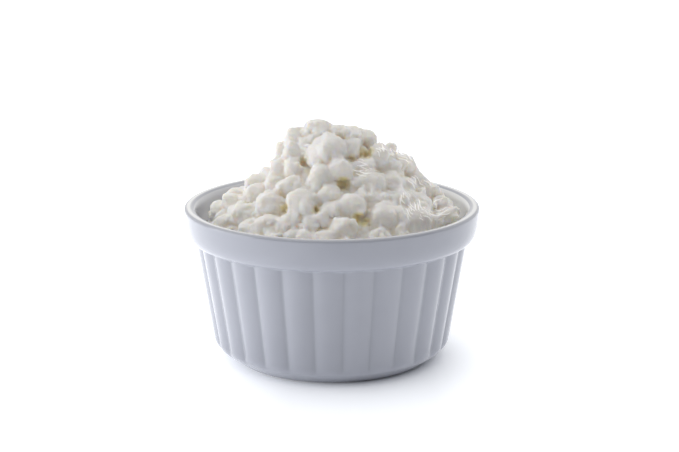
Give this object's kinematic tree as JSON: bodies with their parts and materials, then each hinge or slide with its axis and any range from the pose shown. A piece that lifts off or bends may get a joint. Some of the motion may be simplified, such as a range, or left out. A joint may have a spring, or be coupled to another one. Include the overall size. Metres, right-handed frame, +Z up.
{
  "type": "cottage cheese bowl",
  "caption": "Round fluted porcelain ramekin with a plain collar, heaped high with large-curd cottage cheese.",
  "frame": {"origin": "centre of the foot ring, on the surface that the ramekin stands on", "axes": "+Z up along the ramekin's axis; -Y is the front, and +X is to the right seen from it"},
  "size_m": [0.09, 0.09, 0.0736],
  "materials": {
    "porcelain": "glossy white glaze",
    "curd": "moist white curd with thin cream"
  },
  "bodies": {
    "root": {"ramekin": "porcelain", "cottage_cheese": "curd"}
  },
  "joints": []
}
